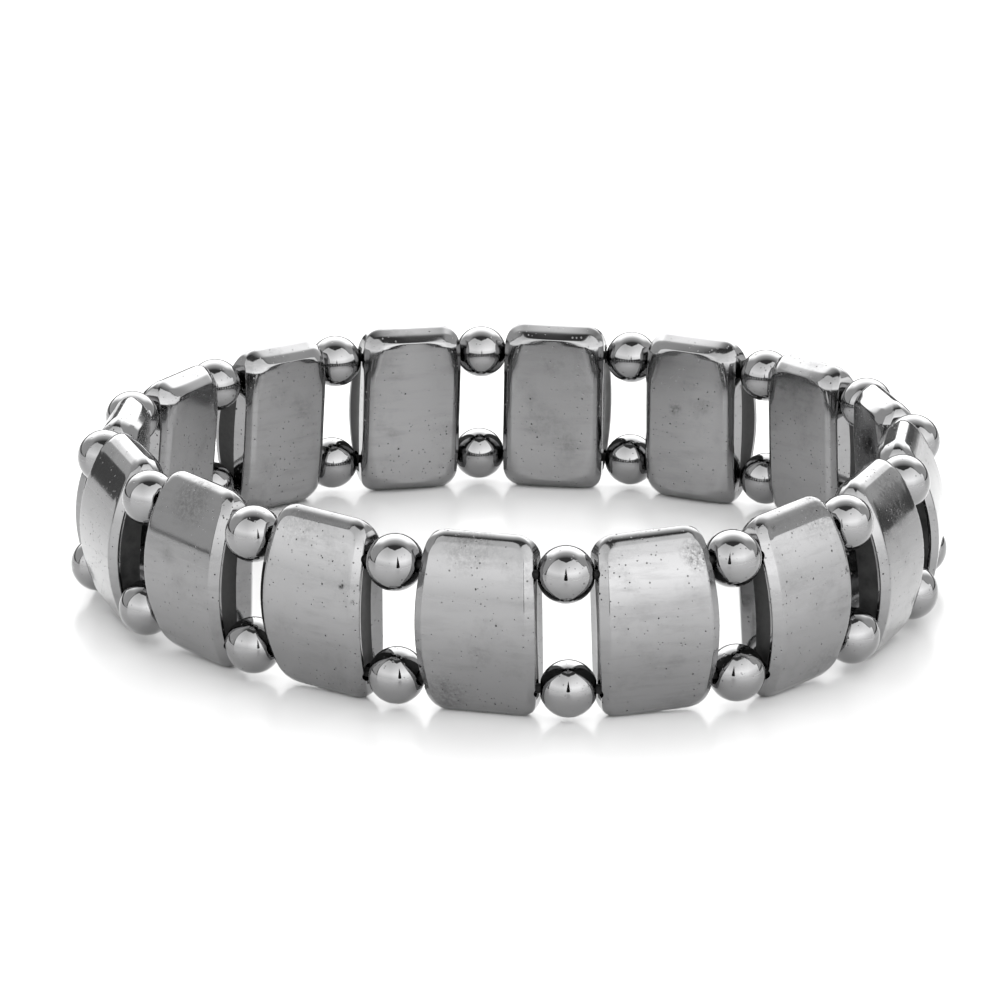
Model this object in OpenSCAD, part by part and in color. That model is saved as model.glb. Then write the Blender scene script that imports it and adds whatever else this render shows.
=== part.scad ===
// Hematite stretch bracelet: arched plates with two holes each, and a pair of round beads
// between every two plates, strung on an upper and a lower elastic thread.
// It lies on its side. The ring's axis is upright, the table is z = 0 and the front is toward -Y.

/* [Plates] */
// Number of plates round the ring
plate_count = 16; // [14:1:20]
// Width of a plate at its holes, along the thread
plate_w = 7.95; // [7:0.05:9]
// Width of the outer face at half its height
face_w = 8.8; // [7.9:0.1:9.5]
// Width of the inner face with its slopes
back_w = 8.1; // [7:0.1:8.4]
// Radius of the slight bulge of a plate's sides in the front view
side_arch_r = 42; // [30:2:80]
// Height of a plate
plate_h = 13.5; // [12.5:0.1:15]
// Thickness of a plate at half its height
plate_t = 4.35; // [3.4:0.05:4.8]
// Depth of the outer face's crest beyond the line of the holes
crest_out = 1.95; // [1.8:0.05:2.4]
// Radius of the arch of the outer face, from end to end
face_arch_r = 11.5; // [10.5:0.5:16]
// Radius of a plate's four corners
corner_r = 1.4; // [0.8:0.1:2]
// Width of the sloping strip down each side of the outer face
face_strip_w = 0.65; // [0.3:0.05:1]
// Depth of that strip
face_strip_d = 0.5; // [0.2:0.05:0.7]
// Width of the softer slope down each side of the inner face
back_strip_w = 0.9; // [0.5:0.1:1.8]
// Depth of that slope
back_strip_d = 0.6; // [0.4:0.05:0.9]
// Size of the slope from an end to the outer face
end_slope = 0.5; // [0.3:0.05:0.9]
// Size of the slope from an end to the inner face
end_back_slope = 1.1; // [0.3:0.05:1.3]
// Depth of the worn flat that a plate stands on
foot_flat = 0.15; // [0.05:0.01:0.25]

/* [Beads and threads] */
// Diameter of a bead
bead_d = 4.1; // [3.6:0.05:4.4]
// Hole through a bead
bead_bore_d = 1.1; // [0.9:0.1:1.4]
// Holes through a plate
plate_bore_d = 1.3; // [1:0.1:1.6]
// Distance between a plate's two holes
row_gap = 8.5; // [8:0.1:9.6]
// Diameter of a thread
thread_d = 0.7; // [0.4:0.1:0.8]
// Room between a bead and the plate beside it
play = 0.145; // [0.1:0.005:0.3]

/* [How it lies] */
// Turn of the ring that puts a bead pair just right of the front
ring_turn = 5; // [0:0.1:22]
// Oval of the ring: millimetres toward the front, and toward the front right
oval = [1.05, 0.8]; // [-1:0.05:1.5]
// Three-sided bend of the ring, as for the oval
three_sided = [0.45, 0.65]; // [-1:0.05:1]
// Four-sided bend of the ring, as for the oval
four_sided = [0.3, 0.45]; // [-0.6:0.05:0.6]
// How much wider the ring is along the upper thread than along the lower one
row_spread = -0.2; // [-0.5:0.05:0.5]
// Shift of the upper thread over the lower one: toward the front, and toward the right
row_shift = [0.4, 0]; // [-1.2:0.1:1.2]
// Oval that the upper thread has beyond the lower one
row_oval = [0.6, -0.3]; // [-1.2:0.1:1.2]

/* [Hidden] */
function numbered(name, k) = str(name, "_", k < 10 ? "0" : "", k);
$fn = 48;
UPPER = 1;
LOWER = -1;
hematite = [0.40, 0.40, 0.41];
elastic = [0.08, 0.08, 0.08];
thread_sides = 8;
cut_size = 20;

// The ring: the beads' centres are the corners of a polygon with equal sides
step_angle = 360 / plate_count;
pitch = plate_w + bead_d + 2 * play;
ring_r = pitch / (2 * sin(step_angle / 2));
// The line of a plate's holes runs this much outside the line between the beads beside it,
// so that each bead sits halfway between the holes that face each other
hole_line_out = (pitch - plate_w) / 2 * tan(step_angle / 2);
// The plate's side view: its back, and the flat at its ends
back_in = plate_t - crest_out;
end_from = face_at(plate_h / 2 - end_slope) + end_slope;
end_to = back_in - end_back_slope;
// The corners' middles in the front view
corner_z = plate_h / 2 - corner_r;
corner_x = side_at(corner_z) - corner_r;
// The lie pushes the ring's outer box off centre by this much
box_middle = [-0.47, -0.68];

// Depth of the outer face's arch at z in a plate's own frame, inward positive
function face_at(z) = face_arch_r - crest_out - sqrt(pow(face_arch_r, 2) - z * z);
// Half of a plate's width at z in the front view
function side_at(z) = face_w / 2 - side_arch_r + sqrt(pow(side_arch_r, 2) - z * z);

// A bend of the ring in n waves: how far it pushes a bead outward, and along the thread.
// The push along keeps the beads at their distance from each other.
function wave_out(n, share, a) = share[0] * cos(n * a) + share[1] * sin(n * a);
function wave_along(n, share, a) = (share[1] * cos(n * a) - share[0] * sin(n * a)) / n;
function push_out(a, side) =
    wave_out(2, oval, a) + wave_out(3, three_sided, a) + wave_out(4, four_sided, a)
    + side / 2 * (row_spread + wave_out(1, row_shift, a) + wave_out(2, row_oval, a));
function push_along(a, side) =
    wave_along(2, oval, a) + wave_along(3, three_sided, a) + wave_along(4, four_sided, a)
    + side / 2 * (wave_along(1, row_shift, a) + wave_along(2, row_oval, a));

// Where bead pair k lies in plan, in the upper or the lower row
function spot_at(a, out, along) =
    [out * sin(a) + along * cos(a), along * sin(a) - out * cos(a)] - box_middle;
function bead_spot(k, side) =
    let (a = ring_turn + step_angle * k)
    spot_at(a, ring_r + push_out(a, side), push_along(a, side));

function unit(v) = v / norm(v);
function turned(v, a) =
    let (x = [v.x, v.y * cos(a.x) - v.z * sin(a.x), v.y * sin(a.x) + v.z * cos(a.x)])
    let (y = [x.x * cos(a.y) + x.z * sin(a.y), x.y, x.z * cos(a.y) - x.x * sin(a.y)])
    [y.x * cos(a.z) - y.y * sin(a.z), y.x * sin(a.z) + y.y * cos(a.z), y.z];

// Plate k stands between bead pairs k - 1 and k. Its lean, roll and heading come from them.
function plate_turn(k) =
    let (
        upper = [bead_spot(k - 1, UPPER), bead_spot(k, UPPER)],
        lower = [bead_spot(k - 1, LOWER), bead_spot(k, LOWER)],
        along = unit(upper[1] - upper[0] + lower[1] - lower[0]),
        outward = [along.y, -along.x],
        over = (upper[0] + upper[1] - lower[0] - lower[1]) / 2)
    [asin(over * outward / row_gap), asin(over * along / row_gap), atan2(along.y, along.x)];
// Lowest point of a turned plate below its middle
function plate_drop(t) =
    corner_x * abs(sin(t.y))
    - min(end_from * sin(t.x), end_to * sin(t.x)) * cos(t.y)
    + plate_h / 2 * cos(t.x) * cos(t.y);
function plate_middle(k) =
    let (
        t = plate_turn(k),
        spots = bead_spot(k - 1, UPPER) + bead_spot(k, UPPER)
            + bead_spot(k - 1, LOWER) + bead_spot(k, LOWER),
        plan = spots / 4 + hole_line_out * [sin(t.z), -cos(t.z)])
    [plan.x, plan.y, plate_drop(t) - foot_flat];
// Where a hole of plate k opens: end is -1 or 1 along the thread
function hole_mouth(k, side, end) =
    plate_middle(k) + turned([end * plate_w / 2, 0, side * row_gap / 2], plate_turn(k));
// The bead after plate k, and the direction of its hole
function bead_middle(k, side) = (hole_mouth(k, side, 1) + hole_mouth(k + 1, side, -1)) / 2;
function bead_heading(k, side) = unit(hole_mouth(k + 1, side, -1) - hole_mouth(k, side, 1));

// Outer face with its side strips: part of a barrel whose axis runs along the thread
module barrel() {
    rotate([0, 90, 0])
        rotate_extrude($fn = 180)
            polygon([
                [0, -face_w / 2],
                [face_arch_r - face_strip_d, -face_w / 2],
                [face_arch_r, face_strip_w - face_w / 2],
                [face_arch_r, face_w / 2 - face_strip_w],
                [face_arch_r - face_strip_d, face_w / 2],
                [0, face_w / 2]]);
}

// Front view of a plate: bulging sides and round corners
module plate_outline() {
    intersection() {
        square([face_w, 2 * corner_z], center = true);
        for (x = [-1, 1])
            translate([x * (face_w / 2 - side_arch_r), 0])
                circle(side_arch_r, $fn = 180);
    }
    square([2 * corner_x, plate_h], center = true);
    for (x = [-1, 1], y = [-1, 1])
        translate([x * corner_x, y * corner_z])
            circle(corner_r);
}

// Top view of a plate: the sides narrow from the outer face to the holes, widen a little behind
// them, and slope into the flat inner face
module plate_sides() {
    reach = plate_t;
    edge = face_strip_d - crest_out;
    rim = back_in - back_strip_d;
    polygon([
        [-face_w / 2, -reach],
        [-face_w / 2, edge],
        [-plate_w / 2, 0],
        [-back_w / 2, rim],
        [back_strip_w - back_w / 2, back_in],
        [back_w / 2 - back_strip_w, back_in],
        [back_w / 2, rim],
        [plate_w / 2, 0],
        [face_w / 2, edge],
        [face_w / 2, -reach]]);
}

// Side view of a plate without its arch: sloping ends
module plate_ends() {
    half = plate_h / 2;
    reach = plate_t;
    polygon([
        [end_from - end_slope - reach, reach + end_slope - half],
        [end_from, -half],
        [end_to, -half],
        [end_to + end_back_slope + reach, end_back_slope + reach - half],
        [end_to + end_back_slope + reach, half - end_back_slope - reach],
        [end_to, half],
        [end_from, half],
        [end_from - end_slope - reach, half - end_slope - reach]]);
}

module plate_body() {
    difference() {
        intersection() {
            translate([0, face_arch_r - crest_out, 0])
                barrel();
            linear_extrude(cut_size, center = true)
                plate_sides();
            rotate([90, 0, 0])
                linear_extrude(cut_size, center = true)
                    plate_outline();
            rotate([90, 0, 90])
                linear_extrude(cut_size, center = true)
                    plate_ends();
        }
        for (side = [LOWER, UPPER])
            translate([0, 0, side * row_gap / 2])
                rotate([0, 90, 0])
                    cylinder(h = cut_size, d = plate_bore_d, center = true);
    }
}

module plate(k) {
    color(hematite)
        difference() {
            translate(plate_middle(k))
                rotate(plate_turn(k))
                    plate_body();
            // The worn flat at the foot lies in the table's plane
            translate([plate_middle(k).x, plate_middle(k).y, -cut_size / 2])
                cube(cut_size, center = true);
        }
}

module bead(k, side) {
    heading = bead_heading(k, side);
    color(hematite)
        translate(bead_middle(k, side))
            rotate([0, acos(heading.z), atan2(heading.y, heading.x)])
                difference() {
                    sphere(d = bead_d);
                    cylinder(h = 2 * bead_d, d = bead_bore_d, center = true);
                }
}

// A thread runs straight through each hole and bends only between plate and bead
module thread(side) {
    route = [
        for (k = [1:plate_count], end = [-1, 1])
            hole_mouth(k, side, end)];
    count = len(route);
    points = [
        for (i = [0:count - 1])
            let (
                along = unit(route[(i + 1) % count] - route[(i + count - 1) % count]),
                out = unit(cross(along, [0, 0, 1])),
                up = cross(out, along))
            for (s = [0:thread_sides - 1])
                let (a = 360 / thread_sides * (s + 0.5))
                route[i] + thread_d / 2 * (out * cos(a) + up * sin(a))];
    faces = [
        for (i = [0:count - 1], s = [0:thread_sides - 1])
            let (next = (i + 1) % count, t = (s + 1) % thread_sides)
            [i * thread_sides + s, i * thread_sides + t,
             next * thread_sides + t, next * thread_sides + s]];
    color(elastic)
        polyhedron(points, faces, convexity = 4);
}

for (k = [1:plate_count]) {
    plate(k);
    bead(k, UPPER);
    bead(k, LOWER);
}
thread(UPPER);  // thread_upper
thread(LOWER);  // thread_lower
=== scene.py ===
# Polished hematite stretch bracelet, lying on its side on a white table
import math

import bmesh
import bpy
from mathutils import Euler, Matrix, Vector


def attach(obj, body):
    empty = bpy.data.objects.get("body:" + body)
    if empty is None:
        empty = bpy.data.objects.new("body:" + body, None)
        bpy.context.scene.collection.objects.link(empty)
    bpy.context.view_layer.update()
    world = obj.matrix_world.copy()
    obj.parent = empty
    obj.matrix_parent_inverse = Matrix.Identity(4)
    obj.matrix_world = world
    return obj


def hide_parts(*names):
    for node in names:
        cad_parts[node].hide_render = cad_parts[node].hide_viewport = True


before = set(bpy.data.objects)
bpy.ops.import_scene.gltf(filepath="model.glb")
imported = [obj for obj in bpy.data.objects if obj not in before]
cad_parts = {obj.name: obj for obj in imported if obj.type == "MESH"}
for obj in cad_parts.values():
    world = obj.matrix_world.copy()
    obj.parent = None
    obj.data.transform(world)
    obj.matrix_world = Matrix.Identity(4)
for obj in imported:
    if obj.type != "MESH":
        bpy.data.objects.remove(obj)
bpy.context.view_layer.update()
print("frame loaded:", len(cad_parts), "nodes")

mm = 0.001
view = bpy.context.scene.view_settings
view.view_transform = "Standard"
view.look = "None"


# Camera: a long lens from the front, looking down at the ring
camera = {
    "distance": 416.8,
    "elevation": 14.953,
    "lens": 198.79,
    "target": (0.47, 0.68, 6.8),
    "shift": (-0.0177, 0.0036),
    "sensor": 36.0,
    "clip": (0.01, 20.0),
}


def placeCamera():
    data = bpy.data.cameras.new("Camera")
    data.lens = camera["lens"]
    data.sensor_width = camera["sensor"]
    data.shift_x = camera["shift"][0]
    data.shift_y = camera["shift"][1]
    data.clip_start, data.clip_end = camera["clip"]
    body = bpy.data.objects.new("Camera", data)
    bpy.context.collection.objects.link(body)
    tilt = math.radians(camera["elevation"])
    away = Vector((0.0, -math.cos(tilt), math.sin(tilt)))
    body.location = (Vector(camera["target"]) + camera["distance"] * away) * mm
    body.rotation_euler = (math.pi / 2 - tilt, 0.0, 0.0)
    bpy.context.scene.camera = body


placeCamera()
print("camera placed")


# Small helpers for work in edit mode
def deselectAll():
    for item in list(bpy.context.selected_objects):
        item.select_set(False)


def editMode(on):
    bpy.ops.object.mode_set(mode="EDIT" if on else "OBJECT")


def pick(kind, test):
    # kind is verts, edges or faces: selects only what passes the test
    bpy.ops.mesh.select_mode(type=kind[:-1].upper())
    bpy.ops.mesh.select_all(action="DESELECT")
    mesh = bmesh.from_edit_mesh(bpy.context.object.data)
    count = 0
    for item in getattr(mesh, kind):
        if test(item):
            item.select_set(True)
            count += 1
    mesh.select_flush_mode()
    bmesh.update_edit_mesh(bpy.context.object.data)
    return count


def applyModifier(piece, kind, **settings):
    modifier = piece.modifiers.new(kind.title(), kind)
    for key, value in settings.items():
        setattr(modifier, key, value)
    bpy.ops.object.modifier_apply(modifier=modifier.name)


# How the ring lies: the same sizes and bends as the frame's
ring = {
    "plates": 16,
    "plateWidth": 7.95,
    "beadWidth": 4.1,
    "play": 0.145,
    "rowGap": 8.5,
    "turn": 5.0,
    "oval": (1.05, 0.8),
    "threeSided": (0.45, 0.65),
    "fourSided": (0.3, 0.45),
    "rowSpread": -0.2,
    "rowShift": (0.4, 0.0),
    "rowOval": (0.6, -0.3),
    "middle": (-0.47, -0.68),
    "footFlat": 0.15,
}
upper = 1
lower = -1
stepAngle = 2 * math.pi / ring["plates"]
pitch = ring["plateWidth"] + ring["beadWidth"] + 2 * ring["play"]
ringRadius = pitch / (2 * math.sin(stepAngle / 2))
holeLineOut = (pitch - ring["plateWidth"]) / 2 * math.tan(stepAngle / 2)


def waveOut(waves, share, angle):
    return share[0] * math.cos(waves * angle) + share[1] * math.sin(waves * angle)


def waveAlong(waves, share, angle):
    return (share[1] * math.cos(waves * angle) - share[0] * math.sin(waves * angle)) / waves


def beadSpot(k, side):
    angle = math.radians(ring["turn"]) + stepAngle * k
    out = ringRadius + side / 2 * ring["rowSpread"]
    along = 0.0
    for waves, name, part in (
        (2, "oval", 1.0),
        (3, "threeSided", 1.0),
        (4, "fourSided", 1.0),
        (1, "rowShift", side / 2),
        (2, "rowOval", side / 2),
    ):
        out += part * waveOut(waves, ring[name], angle)
        along += part * waveAlong(waves, ring[name], angle)
    x = out * math.sin(angle) + along * math.cos(angle) - ring["middle"][0]
    y = along * math.sin(angle) - out * math.cos(angle) - ring["middle"][1]
    return Vector((x, y))


# One plate: an arched slab with two holes
plate = {
    "width": 8.8,
    "backWidth": 8.1,
    "sideArch": 42.0,
    "height": 13.5,
    "thickness": 4.35,
    "crestOut": 1.95,
    "faceArch": 11.5,
    "corner": 1.4,
    "rows": (0.0, 1.8, 3.6, 5.35),
    "columns": (0.0, 1.3, 2.6),
    "stripWidth": 0.65,
    "stripDepth": 0.5,
    "faceSteps": (0.1, 0.15, 0.15, 0.14, 0.04, 0.1, 0.27, 0.3),
    "endTilt": 45.5,
    "endFacet": 0.3,
    "endRoll": 0.9,
    "edgeStep": 0.1,
    "groove": (0.34, 0.54),
    "rimWidth": (0.65, 0.92),
    "rimDepth": (0.6, 1.5),
    "rimCurve": ((0.0, 0.0), (0.054, 0.107), (0.457, 0.623), (1.0, 1.0)),
    "fieldCorner": 2.0,
    "backSteps": (0.05, 0.03, 0.31, 0.06, 0.35, 0.1, 0.04, 0.11, 0.3),
    "holeWidth": 1.3,
    "endSlope": 0.5,
    "endBackSlope": 1.1,
    "smoothAngle": 40.0,
}
# Before its points move to their depths, the slab's faces and rings lie at whole levels
faceLevel = 3
ringLevels = (-2, -1, 1, 2)
cornerZ = plate["height"] / 2 - plate["corner"]
backIn = plate["thickness"] - plate["crestOut"]


def faceDepth(z):
    return plate["faceArch"] - plate["crestOut"] - math.sqrt(plate["faceArch"] ** 2 - z * z)


def sideAt(z):
    # Half of the width at z in the front view: the sides bulge slightly
    return plate["width"] / 2 - plate["sideArch"] + math.sqrt(plate["sideArch"] ** 2 - z * z)


def halfWidth(z, depth):
    # The sides narrow from the outer face to the holes and widen a little behind them
    edge = plate["stripDepth"] - plate["crestOut"]
    rim = backIn - plate["rimDepth"][0]
    if depth < 0.0:
        far, share = plate["width"], min(1.0, depth / edge)
    else:
        far, share = plate["backWidth"], min(1.0, depth / rim)
    half = ring["plateWidth"] / 2 * (1.0 - share) + far / 2 * share
    return min(half, sideAt(min(z, cornerZ)))


def plateFrame(k):
    # Where plate k stands: the same rule as the frame's, from the four beads beside it
    upperSpots = (beadSpot(k - 1, upper), beadSpot(k, upper))
    lowerSpots = (beadSpot(k - 1, lower), beadSpot(k, lower))
    along = (upperSpots[1] - upperSpots[0] + lowerSpots[1] - lowerSpots[0]).normalized()
    outward = Vector((along.y, -along.x))
    over = (upperSpots[0] + upperSpots[1] - lowerSpots[0] - lowerSpots[1]) / 2
    lean = math.asin(over.dot(outward) / ring["rowGap"])
    roll = math.asin(over.dot(along) / ring["rowGap"])
    heading = math.atan2(along.y, along.x)
    half = plate["height"] / 2
    endFrom = faceDepth(half - plate["endSlope"]) + plate["endSlope"]
    endTo = backIn - plate["endBackSlope"]
    drop = (sideAt(cornerZ) - plate["corner"]) * abs(math.sin(roll))
    drop -= min(endFrom * math.sin(lean), endTo * math.sin(lean)) * math.cos(roll)
    drop += half * math.cos(lean) * math.cos(roll)
    spot = (upperSpots[0] + upperSpots[1] + lowerSpots[0] + lowerSpots[1]) / 4
    spot += holeLineOut * Vector((math.sin(heading), -math.cos(heading)))
    middle = Vector((spot.x, spot.y, drop - ring["footFlat"]))
    return Matrix.Translation(middle) @ Euler((lean, roll, heading)).to_matrix().to_4x4()


def holeMouth(k, side, end):
    return plateFrame(k) @ Vector((end * ring["plateWidth"] / 2, 0.0, side * ring["rowGap"] / 2))


def endExtra(fromEnd):
    # How far the facet and the roll at an end lie behind the arch
    half = plate["height"] / 2
    roll = plate["endRoll"]
    tilt = math.radians(plate["endTilt"])
    rollFrom = half - roll * (1.0 - math.sin(tilt))
    facetFrom = rollFrom - plate["endFacet"]
    z = half - fromEnd
    if z <= facetFrom:
        return 0.0
    depth = faceDepth(facetFrom) + (min(z, rollFrom) - facetFrom) * math.tan(tilt)
    if z > rollFrom:
        rise = max(0.0, roll ** 2 - (z - half + roll) ** 2)
        depth += roll * math.cos(tilt) - max(math.sqrt(rise), 0.1)
    return depth - faceDepth(z)


def outerSurface(x, z):
    # Arched from end to end, with rolled ends and a sloping strip down each side
    fromEdge = plate["width"] / 2 - x
    endShare = 0.0
    if z > cornerZ:
        reach = math.hypot(max(x - plate["width"] / 2 + plate["corner"], 0.0), z - cornerZ)
        fromEdge = plate["corner"] - reach
        endShare = ((z - cornerZ) / reach) ** 2
    strip = plate["stripDepth"] * max(0.0, 1.0 - fromEdge / plate["stripWidth"])
    return faceDepth(z) + endExtra(fromEdge) * endShare + strip * (1.0 - endShare)


def innerSurface(x, z):
    # A flat field with broadly rounded corners, and round it a rim that is wider and deeper at the ends
    field = plate["fieldCorner"]
    sideOut = plate["rimWidth"][0] + field
    endOut = plate["rimWidth"][1] + field
    across = x - plate["width"] / 2 + sideOut
    up = z - plate["height"] / 2 + endOut
    if across <= 0.0 or up <= 0.0:
        endShare = 1.0 if across < up else 0.0
        inward = min((sideOut - across) / plate["rimWidth"][0], (endOut - up) / plate["rimWidth"][1])
    else:
        # Here the rim's width is measured away from the centre of the field's corner
        reach = math.hypot(across, up)
        cosine, sine = across / reach, up / reach
        edge = min(sideOut / cosine, endOut / sine)
        toX = sideOut - plate["corner"]
        toZ = endOut - plate["corner"]
        if edge * cosine > toX and edge * sine > toZ:
            nearest = toX * cosine + toZ * sine
            edge = nearest + math.sqrt(nearest ** 2 - toX ** 2 - toZ ** 2 + plate["corner"] ** 2)
        endShare = min(1.0, 1.5 * sine ** 2)
        inward = (edge - reach) / (edge - field)
    share = 0.0
    for (near, low), (far, high) in zip(plate["rimCurve"], plate["rimCurve"][1:]):
        if inward > near:
            share = low + (high - low) * min(1.0, (inward - near) / (far - near))
    depth = plate["rimDepth"][0] * (1.0 - endShare) + plate["rimDepth"][1] * endShare
    return backIn - depth * (1.0 - share)


def wallDepth(level, x, z):
    # Levels go from the outer face through the rings of the side wall to the inner face
    outer = outerSurface(x, z)
    inner = innerSurface(x, z)
    first = outer + plate["edgeStep"]
    last = inner - plate["edgeStep"]
    groove = [first + (last - first) * share for share in plate["groove"]]
    depths = dict(zip(ringLevels, (first, groove[0], groove[1], last)))
    depths[-faceLevel] = outer
    depths[faceLevel] = inner
    return depths[level]


def modelPlate():
    width = plate["width"]
    height = plate["height"]
    deselectAll()
    bpy.ops.mesh.primitive_cube_add(size=1.0)
    piece = bpy.context.object
    piece.name = "plateModel"
    piece.data.materials.append(plateStone)
    # The second slot holds the groove material, whose near-black colour is painted shade
    piece.data.materials.append(grooveShadeStone)
    piece.scale = (width, 2.0 * faceLevel, height)
    bpy.ops.object.transform_apply(location=True, rotation=True, scale=True)
    editMode(True)
    # Rounded corners of the front view
    pick("edges", lambda e: abs(e.verts[0].co.y - e.verts[1].co.y) > 1.0)
    bpy.ops.mesh.bevel(offset=plate["corner"], segments=3, affect="EDGES")
    # Rings along the rim of each face
    pick("faces", lambda f: f.normal.y < -0.9)
    for step in plate["faceSteps"]:
        bpy.ops.mesh.inset(thickness=step, depth=0.0)
    pick("faces", lambda f: f.normal.y > 0.9)
    for step in plate["backSteps"]:
        bpy.ops.mesh.inset(thickness=step, depth=0.0)
    # Rows and columns, and four rings round the side wall
    cuts = [((0.0, y, 0.0), (0.0, 1.0, 0.0)) for y in ringLevels]
    cuts += [((0.0, 0.0, end * z), (0.0, 0.0, 1.0)) for z in plate["rows"] for end in (-1, 1)]
    cuts += [((end * x, 0.0, 0.0), (1.0, 0.0, 0.0)) for x in plate["columns"] for end in (-1, 1)]
    for spot, normal in cuts:
        bpy.ops.mesh.select_all(action="SELECT")
        bpy.ops.mesh.bisect(plane_co=spot, plane_no=normal)
    bpy.ops.mesh.select_all(action="SELECT")
    bpy.ops.mesh.remove_doubles(threshold=0.002)
    # The grooves at the sides, where the beads sit, are left rough, and their near-black colour is painted
    # shade for the gap between plate and bead
    pick("faces", lambda f: abs(f.normal.x) > 0.99 and abs(f.calc_center_median().y + 0.5) < 1.5)
    piece.active_material_index = 1
    bpy.ops.object.material_slot_assign()
    # Each group of like points moves to its depth and to the width there
    mesh = bmesh.from_edit_mesh(piece.data)
    mesh.verts.index_update()
    groups = {}
    for v in mesh.verts:
        key = (round(v.co.y), round(abs(v.co.x), 2), round(abs(v.co.z), 2))
        groups.setdefault(key, set()).add(v.index)
    for (level, x, z), members in groups.items():
        pick("verts", lambda v: v.index in members)
        bpy.ops.transform.translate(value=(0.0, wallDepth(level, x, z) - level, 0.0))
        grow = 2.0 * halfWidth(z, wallDepth(level, width / 2, z)) / width
        bpy.ops.transform.resize(value=(grow, 1.0, 1.0), center_override=(0.0, 0.0, 0.0))
    editMode(False)
    applyModifier(piece, "SUBSURF", levels=2, render_levels=2)
    # Two holes along the thread
    for side in (lower, upper):
        deselectAll()
        bpy.ops.mesh.primitive_cylinder_add(
            vertices=32, radius=plate["holeWidth"] / 2, depth=2 * width,
            location=(0.0, 0.0, side * ring["rowGap"] / 2), rotation=(0.0, math.pi / 2, 0.0))
        drill = bpy.context.object
        deselectAll()
        piece.select_set(True)
        bpy.context.view_layer.objects.active = piece
        applyModifier(piece, "BOOLEAN", operation="DIFFERENCE", solver="EXACT", object=drill)
        bpy.data.objects.remove(drill, do_unlink=True)
    bpy.ops.object.shade_smooth_by_angle(angle=math.radians(plate["smoothAngle"]))
    return piece


# One bead: a round stone drilled along its axis
bead = {
    "segments": 48,
    "rings": 32,
    "holeWidth": 1.1,
    "mouthSoftness": 0.06,
    "smoothAngle": 35.0,
}


def onRim(e):
    return len(e.link_faces) == 1


def modelBead():
    deselectAll()
    radius = ring["beadWidth"] / 2
    bpy.ops.mesh.primitive_uv_sphere_add(segments=bead["segments"], ring_count=bead["rings"], radius=radius)
    piece = bpy.context.object
    piece.name = "beadModel"
    piece.data.materials.append(beadStone)
    editMode(True)
    hole = bead["holeWidth"] / 2
    pick("verts", lambda v: math.hypot(v.co.x, v.co.y) < hole - 0.02)
    bpy.ops.mesh.delete(type="VERT")
    # The rim ring is pulled to the hole's width, then the two rims are joined by the wall
    for end in (-1, 1):
        pick("edges", lambda e: onRim(e) and e.verts[0].co.z * end > 0)
        mesh = bmesh.from_edit_mesh(piece.data)
        now = math.hypot(*next(v for v in mesh.verts if v.select).co.xy)
        level = next(v for v in mesh.verts if v.select).co.z
        grow = hole / now
        bpy.ops.transform.resize(value=(grow, grow, 1.0))
        bpy.ops.transform.translate(
            value=(0.0, 0.0, end * math.sqrt(radius ** 2 - hole ** 2) - level))
    pick("edges", onRim)
    bpy.ops.mesh.bridge_edge_loops()
    pick("edges", lambda e: len(e.link_faces) == 2 and e.calc_face_angle(0.0) > 0.8)
    bpy.ops.mesh.bevel(offset=bead["mouthSoftness"], segments=2, affect="EDGES")
    bpy.ops.mesh.select_all(action="SELECT")
    bpy.ops.mesh.normals_make_consistent(inside=False)
    editMode(False)
    bpy.ops.object.shade_smooth_by_angle(angle=math.radians(bead["smoothAngle"]))
    return piece


def putCopy(model, name, place, node):
    # A copy with its own mesh, its place in the mesh, standing for its node
    mesh = model.data.copy()
    mesh.name = name
    mesh.transform(Matrix.Scale(mm, 4) @ place)
    piece = bpy.data.objects.new(name, mesh)
    bpy.context.collection.objects.link(piece)
    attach(piece, "root")
    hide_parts(node)
    return piece


# Shader helpers
def calc(tree, operation, first, second=None, third=None, clamp=False):
    made = tree.nodes.new("ShaderNodeMath")
    made.operation = operation
    made.use_clamp = clamp
    for socket, value in zip(made.inputs, (first, second, third)):
        if value is None:
            continue
        if isinstance(value, (int, float)):
            socket.default_value = value
        else:
            tree.links.new(value, socket)
    return made.outputs[0]


def ramp(tree, factor, stops, interpolation="LINEAR"):
    made = tree.nodes.new("ShaderNodeValToRGB")
    made.color_ramp.interpolation = interpolation
    elements = made.color_ramp.elements
    while len(elements) > 1:
        elements.remove(elements[-1])
    elements[0].position = stops[0][0]
    elements[0].color = (stops[0][1],) * 3 + (1.0,)
    for position, value in stops[1:]:
        element = elements.new(position)
        element.color = (value,) * 3 + (1.0,)
    tree.links.new(factor, made.inputs[0])
    return made.outputs[0]


def noise(tree, vector, scale, detail, roughness):
    made = tree.nodes.new("ShaderNodeTexNoise")
    made.inputs["Scale"].default_value = scale
    made.inputs["Detail"].default_value = detail
    made.inputs["Roughness"].default_value = roughness
    tree.links.new(vector, made.inputs["Vector"])
    return made.outputs["Fac"]


# Hematite: nearly a mirror, with fine pits, faint wiping streaks and clouded patches.
# The plates' broad faces are hand polished, the beads are smoother.
hematite = {
    "colour": (0.27, 0.27, 0.272),
    "pits": ((1500.0, 0.1, 0.7), (2700.0, 0.15, 1.0)),
    "pitClusters": 210.0,
    "streakScale": (240.0, 240.0, 1500.0),
    "cloudScale": 170.0,
    "patchScale": 289.0,
    "waveScale": 420.0,
    "grainScale": 3300.0,
    "finePitShare": 0.65,
    "darkening": 0.8,
    "pitDepth": -0.03,
    "roughening": {"streaks": 0.05, "clouds": 0.12, "pits": 0.5},
}
plateFinish = {"roughness": 0.09, "streaks": 0.16, "clouds": 0.24, "pits": 1.0, "waves": 0.0035}
beadFinish = {"roughness": 0.05, "streaks": 0.0, "clouds": 0.08, "pits": 0.5, "waves": 0.0}
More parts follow.
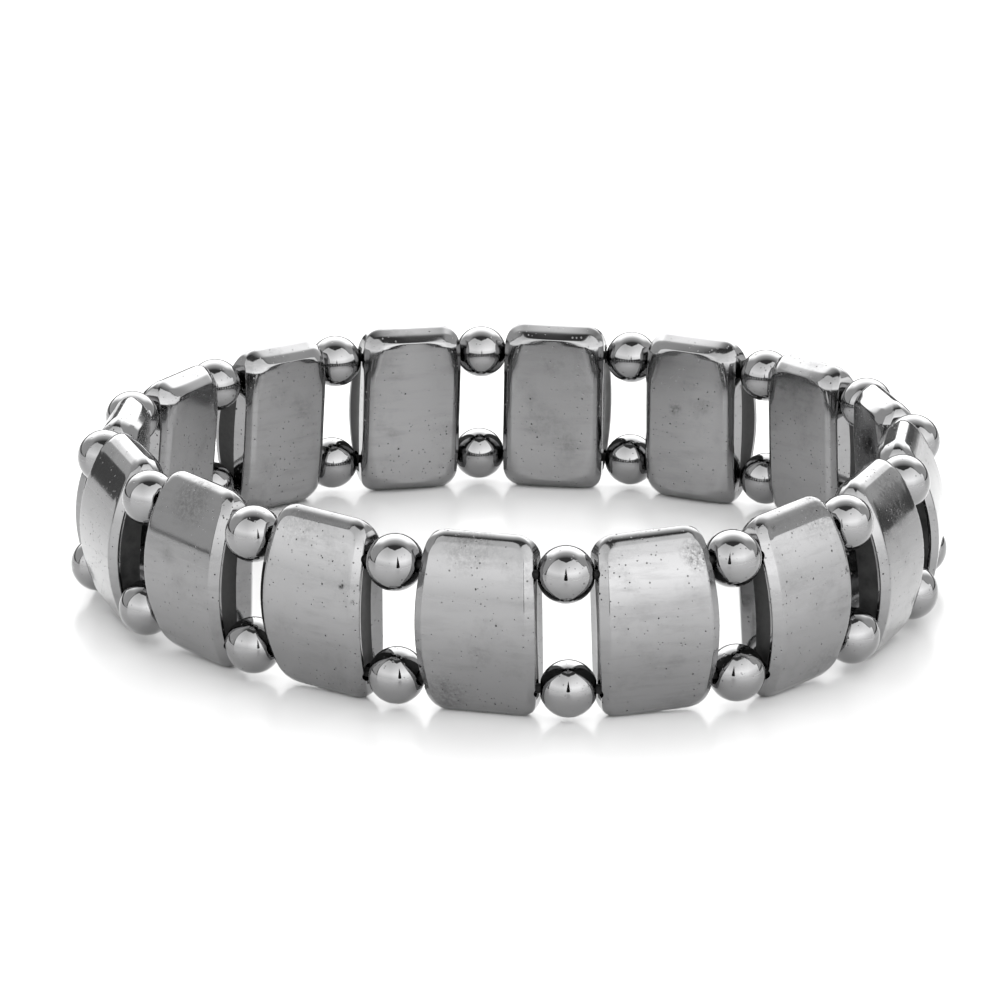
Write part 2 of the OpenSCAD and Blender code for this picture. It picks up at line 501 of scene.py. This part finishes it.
# Stains and small chips: place on the plate from its middle, size in mm, and how dark.
# Across counts toward the next plate.
stains = (
    {"plate": 1, "face": "outer", "across": 3.0, "up": 5.0, "size": 1.4, "strength": 2.2},
    {"plate": 2, "face": "outer", "across": 2.5, "up": 6.0, "size": 2.6, "strength": 1.0},
    {"plate": 2, "face": "outer", "across": 1.5, "up": -5.5, "size": 2.0, "strength": 0.8},
    {"plate": 2, "face": "outer", "across": 3.5, "up": 1.5, "size": 0.35, "strength": 3.0},
    {"plate": 2, "face": "outer", "across": -2.5, "up": 6.0, "size": 0.35, "strength": 3.0},
    {"plate": 3, "face": "outer", "across": 0.0, "up": 4.5, "size": 2.6, "strength": 1.6},
    {"plate": 7, "face": "inner", "across": 1.0, "up": 1.0, "size": 0.7, "strength": 1.8},
    {"plate": 14, "face": "outer", "across": 0.0, "up": 5.5, "size": 2.2, "strength": 1.4},
    {"plate": 15, "face": "outer", "across": -1.5, "up": 6.0, "size": 2.0, "strength": 0.7},
    {"plate": 15, "face": "outer", "across": 3.0, "up": 2.5, "size": 0.35, "strength": 4.0},
    {"plate": 15, "face": "outer", "across": 4.0, "up": 1.5, "size": 0.3, "strength": 3.0},
    {"plate": 16, "face": "outer", "across": -2.5, "up": -5.0, "size": 2.4, "strength": 1.4},
    {"plate": 16, "face": "outer", "across": 0.5, "up": -1.5, "size": 1.0, "strength": 0.6},
    {"plate": 16, "face": "outer", "across": -0.5, "up": 6.0, "size": 2.2, "strength": 0.9},
)


def stainSpot(stain):
    surface = innerSurface if stain["face"] == "inner" else outerSurface
    depth = surface(abs(stain["across"]), abs(stain["up"]))
    return plateFrame(stain["plate"]) @ Vector((stain["across"], depth, stain["up"]))


def hematiteMaterial(name, finish):
    material = bpy.data.materials.new(name)
    material.use_nodes = True
    tree = material.node_tree
    tree.nodes.clear()
    output = tree.nodes.new("ShaderNodeOutputMaterial")
    shader = tree.nodes.new("ShaderNodeBsdfPrincipled")
    tree.links.new(shader.outputs[0], output.inputs[0])
    shader.inputs["Metallic"].default_value = 1.0
    place = tree.nodes.new("ShaderNodeTexCoord").outputs["Object"]
    spread = noise(tree, place, hematite["pitClusters"], 2.0, 0.5)
    clusters = ramp(tree, spread, ((0.36, 0.25), (0.66, 1.0)))

    # Pits: small dark dots, in some cells of a scattered pattern only, and more of them in clusters
    def pits(scale, size, share):
        cells = tree.nodes.new("ShaderNodeTexVoronoi")
        cells.inputs["Scale"].default_value = scale
        tree.links.new(place, cells.inputs["Vector"])
        parts = tree.nodes.new("ShaderNodeSeparateColor")
        tree.links.new(cells.outputs["Color"], parts.inputs[0])
        has = calc(tree, "LESS_THAN", parts.outputs[0], calc(tree, "MULTIPLY", clusters, share))
        wide = calc(tree, "MULTIPLY_ADD", parts.outputs[1], size, size * 0.5)
        near = calc(tree, "DIVIDE", cells.outputs["Distance"], wide)
        dot = calc(tree, "MULTIPLY", calc(tree, "SUBTRACT", 1.0, near, clamp=True), 2.0, clamp=True)
        return calc(tree, "MULTIPLY", dot, has)

    bigPits = pits(*hematite["pits"][0])
    finePits = calc(tree, "MULTIPLY", pits(*hematite["pits"][1]), hematite["finePitShare"])
    allPits = calc(tree, "MULTIPLY", calc(tree, "MAXIMUM", bigPits, finePits), finish["pits"])

    # Streaks run level, along the wiping direction, in patches
    streakMap = tree.nodes.new("ShaderNodeMapping")
    streakMap.inputs["Scale"].default_value = hematite["streakScale"]
    tree.links.new(place, streakMap.inputs["Vector"])
    cloud = noise(tree, place, hematite["cloudScale"], 4.0, 0.6)
    streaks = ramp(tree, noise(tree, streakMap.outputs[0], 1.0, 6.0, 0.65), ((0.48, 0.0), (0.70, 1.0)))
    streaks = calc(tree, "MULTIPLY", streaks, ramp(tree, cloud, ((0.40, 0.15), (0.58, 1.0))))
    grain = ramp(tree, noise(tree, place, hematite["grainScale"], 4.0, 0.7), ((0.38, 0.0), (0.62, 1.0)))
    patches = noise(tree, place, hematite["patchScale"], 5.0, 0.65)
    patches = ramp(tree, patches, ((0.52, 0.0), (0.72, 1.0)))
    clouds = calc(tree, "MULTIPLY", patches, calc(tree, "MULTIPLY_ADD", grain, 0.6, 0.4))
    for stain in stains:
        size = stain["size"] * mm
        spot = tree.nodes.new("ShaderNodeVectorMath")
        spot.operation = "DISTANCE"
        spot.inputs[1].default_value = stainSpot(stain) * mm
        tree.links.new(place, spot.inputs[0])
        edge = calc(tree, "MULTIPLY_ADD", cloud, size, spot.outputs["Value"])
        inside = ramp(tree, calc(tree, "DIVIDE", edge, 2.0 * size), ((0.45, 1.0), (0.75, 0.0)))
        speckled = calc(tree, "MULTIPLY", inside, grain)
        clouds = calc(tree, "MULTIPLY_ADD", speckled, stain["strength"], clouds)

    dark = calc(tree, "MULTIPLY", streaks, finish["streaks"])
    dark = calc(tree, "MULTIPLY_ADD", clouds, finish["clouds"], dark)
    dark = calc(tree, "MULTIPLY_ADD", allPits, hematite["darkening"], dark)
    light = calc(tree, "SUBTRACT", 1.0, dark, clamp=True)
    tint = tree.nodes.new("ShaderNodeMix")
    tint.data_type = "RGBA"
    tint.blend_type = "MIX"
    tint.inputs["A"].default_value = (0.01, 0.01, 0.01, 1.0)
    tint.inputs["B"].default_value = hematite["colour"] + (1.0,)
    tree.links.new(light, tint.inputs["Factor"])
    tree.links.new(tint.outputs["Result"], shader.inputs["Base Color"])

    roughening = hematite["roughening"]
    rough = calc(tree, "MULTIPLY_ADD", streaks, roughening["streaks"], finish["roughness"])
    rough = calc(tree, "MULTIPLY_ADD", clouds, roughening["clouds"], rough)
    rough = calc(tree, "MULTIPLY_ADD", allPits, roughening["pits"], rough)
    tree.links.new(rough, shader.inputs["Roughness"])

    # Bump: pits go in, and the polish is slightly wavy
    wave = noise(tree, place, hematite["waveScale"], 2.0, 0.5)
    depth = calc(tree, "MULTIPLY", wave, finish["waves"])
    depth = calc(tree, "MULTIPLY_ADD", allPits, hematite["pitDepth"], depth)
    bump = tree.nodes.new("ShaderNodeBump")
    bump.inputs["Distance"].default_value = mm
    bump.inputs["Strength"].default_value = 1.0
    tree.links.new(depth, bump.inputs["Height"])
    tree.links.new(bump.outputs[0], shader.inputs["Normal"])
    return material


# Finish of the grooves: dull, on a colour painted near-black as shade in the gaps
grooveShadeFinish = {"gloss": 0.25, "grainScale": 900.0}
elasticFinish = {"roughness": 0.6, "gloss": 0.2, "fibreScale": 6000.0, "fibreDepth": 0.02}


def grooveShadeMaterial():
    # The grooves at the plates' sides: unpolished and dull, with a near-black colour painted as the shade
    # in the gap where the beads sit
    material = bpy.data.materials.new("groundHematitePaintedShade")
    material.use_nodes = True
    tree = material.node_tree
    shader = tree.nodes["Principled BSDF"]
    shader.inputs["Specular IOR Level"].default_value = grooveShadeFinish["gloss"]
    place = tree.nodes.new("ShaderNodeTexCoord").outputs["Object"]
    grain = noise(tree, place, grooveShadeFinish["grainScale"], 5.0, 0.65)
    # Near-black base colour: painted shade for the gap between plate and bead
    tree.links.new(ramp(tree, grain, ((0.35, 0.012), (0.7, 0.035))), shader.inputs["Base Color"])
    tree.links.new(ramp(tree, grain, ((0.3, 0.35), (0.7, 0.6))), shader.inputs["Roughness"])
    return material


def elasticMaterial():
    material = bpy.data.materials.new("blackElastic")
    material.use_nodes = True
    tree = material.node_tree
    shader = tree.nodes["Principled BSDF"]
    shader.inputs["Roughness"].default_value = elasticFinish["roughness"]
    shader.inputs["Specular IOR Level"].default_value = elasticFinish["gloss"]
    place = tree.nodes.new("ShaderNodeTexCoord").outputs["Object"]
    fibre = noise(tree, place, elasticFinish["fibreScale"], 3.0, 0.6)
    tint = ramp(tree, fibre, ((0.3, 0.004), (0.7, 0.02)))
    tree.links.new(tint, shader.inputs["Base Color"])
    bump = tree.nodes.new("ShaderNodeBump")
    bump.inputs["Distance"].default_value = elasticFinish["fibreDepth"] * mm
    tree.links.new(fibre, bump.inputs["Height"])
    tree.links.new(bump.outputs[0], shader.inputs["Normal"])
    return material


plateStone = hematiteMaterial("polishedHematitePlate", plateFinish)
beadStone = hematiteMaterial("polishedHematiteBead", beadFinish)
grooveShadeStone = grooveShadeMaterial()
elastic = elasticMaterial()
print("materials made")

plateModel = modelPlate()
print("plate modelled:", len(plateModel.data.polygons), "faces")
beadModel = modelBead()
print("bead modelled:", len(beadModel.data.polygons), "faces")


def cutFoot(piece):
    # The worn flat at the foot lies in the table's plane
    deselectAll()
    piece.select_set(True)
    bpy.context.view_layer.objects.active = piece
    editMode(True)
    bpy.ops.mesh.select_all(action="SELECT")
    bpy.ops.mesh.bisect(plane_co=(0.0, 0.0, 0.0), plane_no=(0.0, 0.0, 1.0), use_fill=True,
                        clear_inner=True, threshold=1e-7)
    editMode(False)
    bpy.ops.object.shade_smooth_by_angle(angle=math.radians(plate["smoothAngle"]))


for k in range(1, ring["plates"] + 1):
    name = "plate_%02d" % k
    made = putCopy(plateModel, "archedPlate%02d" % k, plateFrame(k), name)
    cutFoot(made)
    for side, row in ((upper, "upper"), (lower, "lower")):
        fromHole = holeMouth(k, side, 1)
        toHole = holeMouth(k + 1, side, -1)
        heading = (toHole - fromHole).normalized()
        turn = heading.to_track_quat("Z", "Y").to_matrix().to_4x4()
        place = Matrix.Translation((fromHole + toHole) / 2) @ turn
        putCopy(beadModel, "%sBead%02d" % (row, k), place, "bead_%s_%02d" % (row, k))
bpy.data.objects.remove(plateModel, do_unlink=True)
bpy.data.objects.remove(beadModel, do_unlink=True)
print("ring strung")


# The two elastic threads: a round strand through every hole
thread = {
    "width": 0.7,
    "sides": 6,
    "smoothAngle": 60.0,
}


def modelThread(side, row):
    deselectAll()
    route = [holeMouth(k, side, end) for k in range(1, ring["plates"] + 1) for end in (-1, 1)]
    curve = bpy.data.curves.new(row + "Thread", "CURVE")
    curve.dimensions = "3D"
    curve.bevel_depth = thread["width"] / 2 * mm
    curve.bevel_resolution = thread["sides"] // 2
    line = curve.splines.new("POLY")
    line.points.add(len(route) - 1)
    for point, spot in zip(line.points, route):
        point.co = (spot.x * mm, spot.y * mm, spot.z * mm, 1.0)
    line.use_cyclic_u = True
    piece = bpy.data.objects.new(row + "Thread", curve)
    bpy.context.collection.objects.link(piece)
    piece.select_set(True)
    bpy.context.view_layer.objects.active = piece
    bpy.ops.object.convert(target="MESH")
    piece = bpy.context.object
    piece.data.materials.clear()
    piece.data.materials.append(elastic)
    bpy.ops.object.shade_smooth_by_angle(angle=math.radians(thread["smoothAngle"]))
    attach(piece, "root")
    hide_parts("thread_" + row)


modelThread(upper, "upper")
modelThread(lower, "lower")
print("threads laid")


# White table
table = {
    "size": 4.0,
    "colour": (0.77, 0.77, 0.77),
    "roughness": 0.25,
    "gloss": 0.4,
    "below": 0.02,
    "grainScale": 30.0,
}


def layTable():
    deselectAll()
    bpy.ops.mesh.primitive_plane_add(size=table["size"], location=(0.0, 0.0, -table["below"] * mm))
    floor = bpy.context.object
    floor.name = "table"
    material = bpy.data.materials.new("whiteTable")
    material.use_nodes = True
    tree = material.node_tree
    shader = tree.nodes["Principled BSDF"]
    shader.inputs["Base Color"].default_value = table["colour"] + (1.0,)
    shader.inputs["Specular IOR Level"].default_value = table["gloss"]
    place = tree.nodes.new("ShaderNodeTexCoord").outputs["Object"]
    cloud = noise(tree, place, table["grainScale"], 2.0, 0.5)
    tree.links.new(calc(tree, "MULTIPLY_ADD", cloud, 0.04, table["roughness"]), shader.inputs["Roughness"])
    floor.data.materials.append(material)


layTable()


# Studio: white walls in front and at both sides, dark overhead, and a bright screen behind.
# A stop is a direction, then a brightness. The walls are brightest at a third of their height, dimmer
# toward the top, and brighter on the right. Overhead is dark up to the middle, dim behind it, then
# comes the screen, which ends above the horizon. At the sides there is no screen, only the dim part.
# In wallEnd and further the second value is how far round the wall's edge lies.
studio = {
    "strength": 3.6,
    "wall": ((0.0, 0.55), (0.3, 0.8), (0.93, 0.45)),
    "wallSides": ((0.3, 0.82), (0.65, 1.1), (0.85, 1.1), (1.0, 0.85)),
    "wallEnd": ((0.0, 0.1), (0.91, 0.1), (0.935, 1.0)),
    "over": ((0.47, 0.03), (0.62, 0.38), (0.72, 1.0), (0.917, 1.0), (0.924, 0.04)),
    "overSides": ((0.42, 0.03), (0.45, 0.25), (0.94, 0.25), (0.944, 0.04)),
    "further": ((0.36, 0.3), (0.41, 0.08), (0.55, 0.0)),
    "gap": ((0.480, 1.0), (0.487, 0.08)),
}


def buildStudio():
    world = bpy.context.scene.world
    if world is None:
        world = bpy.data.worlds.new("studio")
        bpy.context.scene.world = world
    world.use_nodes = True
    tree = world.node_tree
    tree.nodes.clear()
    output = tree.nodes.new("ShaderNodeOutputWorld")
    back = tree.nodes.new("ShaderNodeBackground")
    tree.links.new(back.outputs[0], output.inputs[0])
    heading = tree.nodes.new("ShaderNodeTexCoord").outputs["Generated"]
    parts = tree.nodes.new("ShaderNodeSeparateXYZ")
    tree.links.new(heading, parts.inputs[0])
    x, y, z = parts.outputs
    forward = calc(tree, "MULTIPLY", y, -1.0)
    aside = calc(tree, "ABSOLUTE", x)
    # The walls' brightness by height, then by how far to the right
    wall = ramp(tree, z, studio["wall"])
    sides = ramp(tree, calc(tree, "MULTIPLY_ADD", x, 0.5, 0.5), studio["wallSides"])
    wall = calc(tree, "MULTIPLY", wall, sides)
    # A shallow notch in the walls' top edge, straight ahead
    notch = ramp(tree, aside, ((0.0, 0.035), (0.16, 0.0)))
    wallEnd = ramp(tree, calc(tree, "ADD", z, notch), studio["wallEnd"])
    # On the right the lower half of the wall reaches further round
    onRight = ramp(tree, x, ((0.5, 0.0), (0.7, 1.0)))
    further = calc(tree, "MULTIPLY", ramp(tree, z, studio["further"]), onRight)
    wallEnd = calc(tree, "SUBTRACT", wallEnd, further)
    beyond = calc(tree, "SUBTRACT", forward, wallEnd)
    onWall = ramp(tree, calc(tree, "MULTIPLY_ADD", beyond, 0.5, 0.5), ((0.498, 0.0), (0.504, 1.0)))
    # Overhead and behind, by the turn about the left-right axis: 0.5 is straight up, 1 is level behind
    turn = calc(tree, "DIVIDE", calc(tree, "ARCTAN2", z, forward), math.pi, clamp=True)
    over = ramp(tree, turn, studio["over"])
    overSides = ramp(tree, turn, studio["overSides"])
    toSides = ramp(tree, aside, ((0.45, 0.0), (0.72, 1.0)), "EASE")
    rest = tree.nodes.new("ShaderNodeMix")
    rest.data_type = "RGBA"
    tree.links.new(toSides, rest.inputs["Factor"])
    tree.links.new(over, rest.inputs["A"])
    tree.links.new(overSides, rest.inputs["B"])
    # A thin dark gap where the walls end
    gap = ramp(tree, calc(tree, "MULTIPLY_ADD", beyond, 0.5, 0.5), studio["gap"])
    darker = tree.nodes.new("ShaderNodeMix")
    darker.data_type = "RGBA"
    darker.blend_type = "MULTIPLY"
    darker.inputs["Factor"].default_value = 1.0
    tree.links.new(rest.outputs["Result"], darker.inputs["A"])
    tree.links.new(gap, darker.inputs["B"])
    mix = tree.nodes.new("ShaderNodeMix")
    mix.data_type = "RGBA"
    tree.links.new(onWall, mix.inputs["Factor"])
    tree.links.new(darker.outputs["Result"], mix.inputs["A"])
    tree.links.new(wall, mix.inputs["B"])
    tree.links.new(mix.outputs["Result"], back.inputs["Color"])
    back.inputs["Strength"].default_value = studio["strength"]


buildStudio()


# A wide soft lamp overhead that lights the table and doesn't show in the stones
softLamp = {
    "size": 1.2,
    "power": 2.2,
    "place": (0.0, 0.1, 0.9),
    "shape": "SQUARE",
}


def hangLamp():
    lamp = bpy.data.lights.new("softLamp", "AREA")
    lamp.shape = softLamp["shape"]
    lamp.size = softLamp["size"]
    lamp.energy = softLamp["power"]
    body = bpy.data.objects.new("softLamp", lamp)
    bpy.context.collection.objects.link(body)
    body.location = softLamp["place"]
    body.visible_glossy = False


hangLamp()


# A narrow dark flag close in front, seen only in the gloss of the stones
flag = {
    "place": (3.2, -80.0),
    "bottom": 3.5,
    "top": 52.0,
    "width": 13.0,
    "roundness": 4.0,
}


def hangFlag():
    deselectAll()
    height = flag["top"] - flag["bottom"]
    middle = (flag["place"][0] * mm, flag["place"][1] * mm, (flag["bottom"] + height / 2) * mm)
    bpy.ops.mesh.primitive_plane_add(size=1.0, location=middle, rotation=(math.pi / 2, 0.0, 0.0))
    cloth = bpy.context.object
    cloth.name = "darkFlag"
    cloth.scale = (flag["width"] * mm, height * mm, 1.0)
    bpy.ops.object.transform_apply(location=True, rotation=True, scale=True)
    editMode(True)
    pick("verts", lambda v: v.co.z > middle[2])
    bpy.ops.mesh.merge(type="CENTER")
    pick("verts", lambda v: v.co.z < middle[2])
    bpy.ops.mesh.bevel(offset=flag["roundness"] * mm, segments=4, affect="VERTICES")
    editMode(False)
    material = bpy.data.materials.new("blackCloth")
    material.use_nodes = True
    shader = material.node_tree.nodes["Principled BSDF"]
    shader.inputs["Base Color"].default_value = (0.01, 0.01, 0.01, 1.0)
    shader.inputs["Specular IOR Level"].default_value = 0.0
    cloth.data.materials.append(material)
    cloth.visible_camera = False
    cloth.visible_diffuse = False
    cloth.visible_shadow = False


hangFlag()
print("studio lit")
